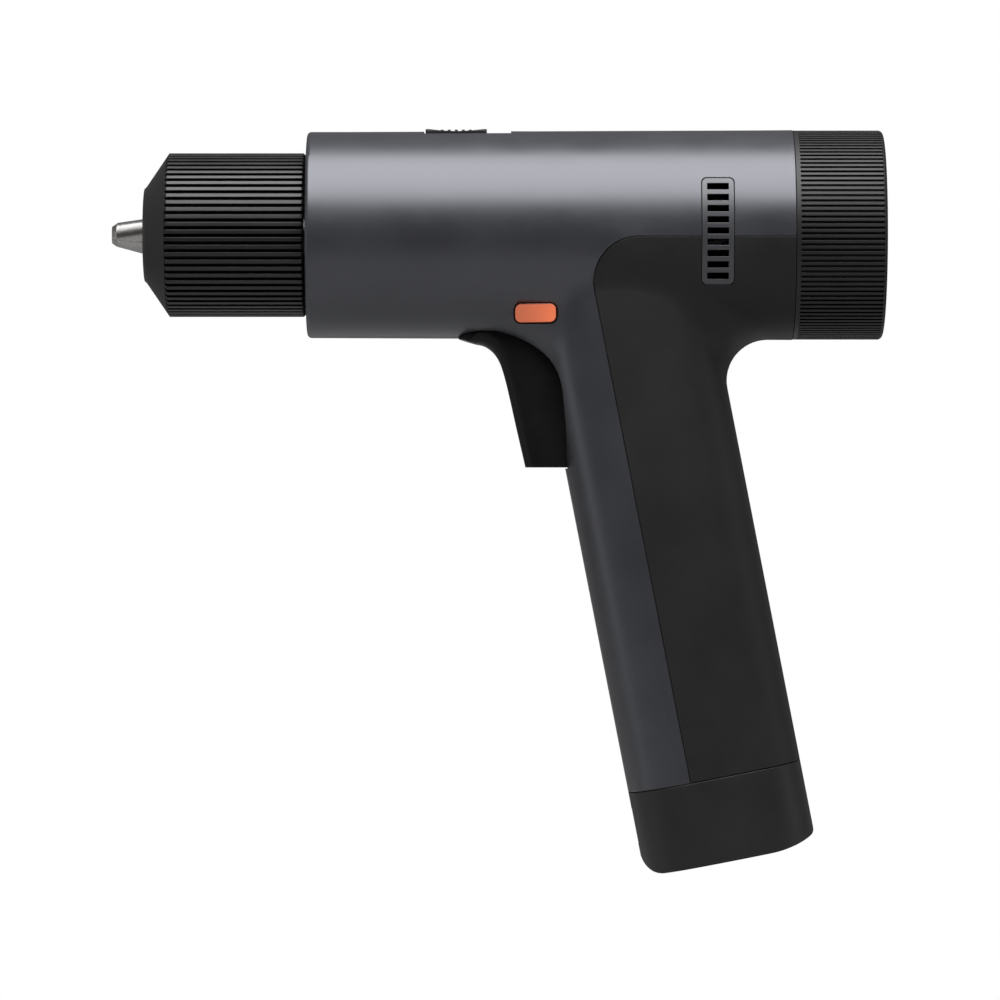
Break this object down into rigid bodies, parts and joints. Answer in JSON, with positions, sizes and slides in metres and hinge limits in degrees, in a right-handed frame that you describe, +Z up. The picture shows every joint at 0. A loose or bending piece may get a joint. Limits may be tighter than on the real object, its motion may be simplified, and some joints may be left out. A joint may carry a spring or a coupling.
{
  "type": "cordless drill driver",
  "caption": "Compact cordless drill driver with a ribbed keyless chuck, ribbed torque ring at the rear, speed slider, direction button and a stick battery in the handle.",
  "frame": {"origin": "on the spindle axis at the front face of the chuck's nose", "axes": "+X forward out of the chuck, +Z up, the handle hanging down; its own left side is +Y"},
  "size_m": [0.1816, 0.0494, 0.1746],
  "materials": {
    "barrel_grey": "satin dark grey metallic paint",
    "grip_black": "matt soft-touch moulding",
    "grille_grey": "satin dark grey",
    "sleeve_black": "matt moulded ribs",
    "ring_black": "matt fine moulded ribs",
    "trigger_black": "satin moulding",
    "cap_black": "matt moulding",
    "button_orange": "satin orange moulding",
    "jaw_steel": "ground steel",
    "screw_steel": "black zinc plate",
    "gear_steel": "hobbed, oiled",
    "bearing_steel": "ground and polished",
    "spring_steel": "drawn wire",
    "case_alloy": "die cast",
    "stator_steel": "stacked laminations",
    "copper": "enamelled copper wire",
    "nylon_black": "glass-filled nylon",
    "board_green": "solder mask",
    "wire_red": "silicone insulation",
    "contact_brass": "plated",
    "cell_wrap": null
  },
  "bodies": {
    "housing": {"housing_left": "barrel_grey", "housing_right": "barrel_grey", "grip_panel_left": "grip_black", "grip_panel_right": "grip_black", "vent_grille_left": "grille_grey", "vent_grille_right": "grille_grey", "housing_screws": "screw_steel", "gearbox_case": "case_alloy", "gearbox_back_plate": "case_alloy", "gearbox_screws": "screw_steel", "front_bearing_outer": "bearing_steel", "front_bearing_balls": "bearing_steel", "ring_gear_1": "gear_steel", "ring_gear_3": "gear_steel", "stator_core": "stator_steel", "stator_windings": "copper", "motor_bearing_front": "bearing_steel", "motor_bearing_rear": "bearing_steel", "rear_cap": "ring_black", "trigger_spring": "spring_steel", "switch_body": "nylon_black", "control_board": "board_green", "wiring": "wire_red", "terminal_block": "nylon_black"},
    "output": {"spindle": "gear_steel", "front_bearing_inner": "bearing_steel", "chuck_body": "jaw_steel", "chuck_screw": "screw_steel"},
    "sleeve": {"chuck_sleeve": "sleeve_black", "chuck_nut": "gear_steel"},
    "jaw_1": {"jaw_1": "jaw_steel"},
    "jaw_2": {"jaw_2": "jaw_steel"},
    "jaw_3": {"jaw_3": "jaw_steel"},
    "carrier_2": {"carrier_2": "gear_steel"},
    "carrier_1": {"carrier_1": "gear_steel"},
    "rotor": {"rotor_shaft": "gear_steel", "motor_pinion": "gear_steel", "rotor_core": "stator_steel", "fan": "nylon_black"},
    "torque_ring": {"torque_ring": "ring_black"},
    "trigger": {"trigger": "trigger_black"},
    "direction_button": {"direction_button": "button_orange"},
    "speed_slider": {"speed_slider": "sleeve_black", "shift_yoke": "spring_steel", "ring_gear_2": "gear_steel"},
    "battery": {"battery_case": "cap_black", "battery_cells": "cell_wrap", "battery_terminals": "contact_brass", "latch_spring": "spring_steel"},
    "battery_latch": {"battery_latch": "cap_black"},
    "planet_3a": {"planet_3a": "gear_steel"},
    "planet_3b": {"planet_3b": "gear_steel"},
    "planet_3c": {"planet_3c": "gear_steel"},
    "planet_2a": {"planet_2a": "gear_steel"},
    "planet_2b": {"planet_2b": "gear_steel"},
    "planet_2c": {"planet_2c": "gear_steel"},
    "planet_1a": {"planet_1a": "gear_steel"},
    "planet_1b": {"planet_1b": "gear_steel"},
    "planet_1c": {"planet_1c": "gear_steel"}
  },
  "joints": [
    {"name": "spindle_spin", "type": "hinge", "parent": "housing", "child": "output", "pos_m": [-0.045, 0, 0], "axis": [1, 0, 0], "continuous": true},
    {"name": "carrier_2_spin", "type": "hinge", "parent": "housing", "child": "carrier_2", "pos_m": [-0.062, 0, 0], "axis": [1, 0, 0], "continuous": true},
    {"name": "carrier_1_spin", "type": "hinge", "parent": "housing", "child": "carrier_1", "pos_m": [-0.077, 0, 0], "axis": [1, 0, 0], "continuous": true},
    {"name": "rotor_spin", "type": "hinge", "parent": "housing", "child": "rotor", "pos_m": [-0.112, 0, 0], "axis": [1, 0, 0], "continuous": true},
    {"name": "planet_3a_spin", "type": "hinge", "parent": "output", "child": "planet_3a", "pos_m": [-0.0558, 0.0108, 0], "axis": [1, 0, 0], "continuous": true},
    {"name": "planet_3b_spin", "type": "hinge", "parent": "output", "child": "planet_3b", "pos_m": [-0.0558, -0.0054, 0.00935], "axis": [1, 0, 0], "continuous": true},
    {"name": "planet_3c_spin", "type": "hinge", "parent": "output", "child": "planet_3c", "pos_m": [-0.0558, -0.0054, -0.00935], "axis": [1, 0, 0], "continuous": true},
    {"name": "planet_2a_spin", "type": "hinge", "parent": "carrier_2", "child": "planet_2a", "pos_m": [-0.067, 0.0108, 0], "axis": [1, 0, 0], "continuous": true},
    {"name": "planet_2b_spin", "type": "hinge", "parent": "carrier_2", "child": "planet_2b", "pos_m": [-0.067, -0.0054, 0.00935], "axis": [1, 0, 0], "continuous": true},
    {"name": "planet_2c_spin", "type": "hinge", "parent": "carrier_2", "child": "planet_2c", "pos_m": [-0.067, -0.0054, -0.00935], "axis": [1, 0, 0], "continuous": true},
    {"name": "planet_1a_spin", "type": "hinge", "parent": "carrier_1", "child": "planet_1a", "pos_m": [-0.0809, 0.0108, 0], "axis": [1, 0, 0], "continuous": true},
    {"name": "planet_1b_spin", "type": "hinge", "parent": "carrier_1", "child": "planet_1b", "pos_m": [-0.0809, -0.0054, 0.00935], "axis": [1, 0, 0], "continuous": true},
    {"name": "planet_1c_spin", "type": "hinge", "parent": "carrier_1", "child": "planet_1c", "pos_m": [-0.0809, -0.0054, -0.00935], "axis": [1, 0, 0], "continuous": true},
    {"name": "sleeve_turn", "type": "hinge", "parent": "output", "child": "sleeve", "pos_m": [-0.02, 0, 0], "axis": [-1, 0, 0], "range_deg": [0, 3600]},
    {"name": "jaw_1_slide", "type": "slide", "parent": "output", "child": "jaw_1", "axis": [-0.9659, -0.2241, 0.1294], "range_m": [0, 0.015]},
    {"name": "jaw_2_slide", "type": "slide", "parent": "output", "child": "jaw_2", "axis": [-0.9659, 0, -0.2588], "range_m": [0, 0.015]},
    {"name": "jaw_3_slide", "type": "slide", "parent": "output", "child": "jaw_3", "axis": [-0.9659, 0.2241, 0.1294], "range_m": [0, 0.015]},
    {"name": "trigger_pull", "type": "slide", "parent": "housing", "child": "trigger", "axis": [-1, 0, 0], "range_m": [0, 0.006], "stiffness_N_per_m": 900, "springref_m": -0.003, "deforming": ["trigger_spring"]},
    {"name": "direction_push", "type": "slide", "parent": "housing", "child": "direction_button", "axis": [0, 1, 0], "range_m": [-0.0025, 0.0025]},
    {"name": "speed_slide", "type": "slide", "parent": "housing", "child": "speed_slider", "axis": [-1, 0, 0], "range_m": [0, 0.0052]},
    {"name": "torque_ring_turn", "type": "hinge", "parent": "housing", "child": "torque_ring", "pos_m": [-0.163, 0, 0], "axis": [1, 0, 0], "continuous": true},
    {"name": "battery_slide", "type": "slide", "parent": "housing", "child": "battery", "axis": [-0.1917, 0, -0.9815], "range_m": [0, 0.09]},
    {"name": "latch_push", "type": "slide", "parent": "battery", "child": "battery_latch", "axis": [-0.9815, 0, 0.1917], "range_m": [0, 0.0015], "stiffness_N_per_m": 1500, "springref_m": -0.0005, "deforming": ["latch_spring"]}
  ],
  "couplings": [
    {"joint": "carrier_2_spin", "follows": "spindle_spin", "ratio": 3.6},
    {"joint": "carrier_1_spin", "follows": "spindle_spin", "ratio": 12.96},
    {"joint": "rotor_spin", "follows": "spindle_spin", "ratio": 46.656},
    {"joint": "planet_3a_spin", "follows": "spindle_spin", "ratio": -3.25},
    {"joint": "planet_3b_spin", "follows": "spindle_spin", "ratio": -3.25},
    {"joint": "planet_3c_spin", "follows": "spindle_spin", "ratio": -3.25},
    {"joint": "planet_2a_spin", "follows": "spindle_spin", "ratio": -11.7},
    {"joint": "planet_2b_spin", "follows": "spindle_spin", "ratio": -11.7},
    {"joint": "planet_2c_spin", "follows": "spindle_spin", "ratio": -11.7},
    {"joint": "planet_1a_spin", "follows": "spindle_spin", "ratio": -42.12},
    {"joint": "planet_1b_spin", "follows": "spindle_spin", "ratio": -42.12},
    {"joint": "planet_1c_spin", "follows": "spindle_spin", "ratio": -42.12},
    {"joint": "jaw_1_slide", "follows": "sleeve_turn", "m_per_rad": 0.00023873},
    {"joint": "jaw_2_slide", "follows": "sleeve_turn", "m_per_rad": 0.00023873},
    {"joint": "jaw_3_slide", "follows": "sleeve_turn", "m_per_rad": 0.00023873}
  ]
}
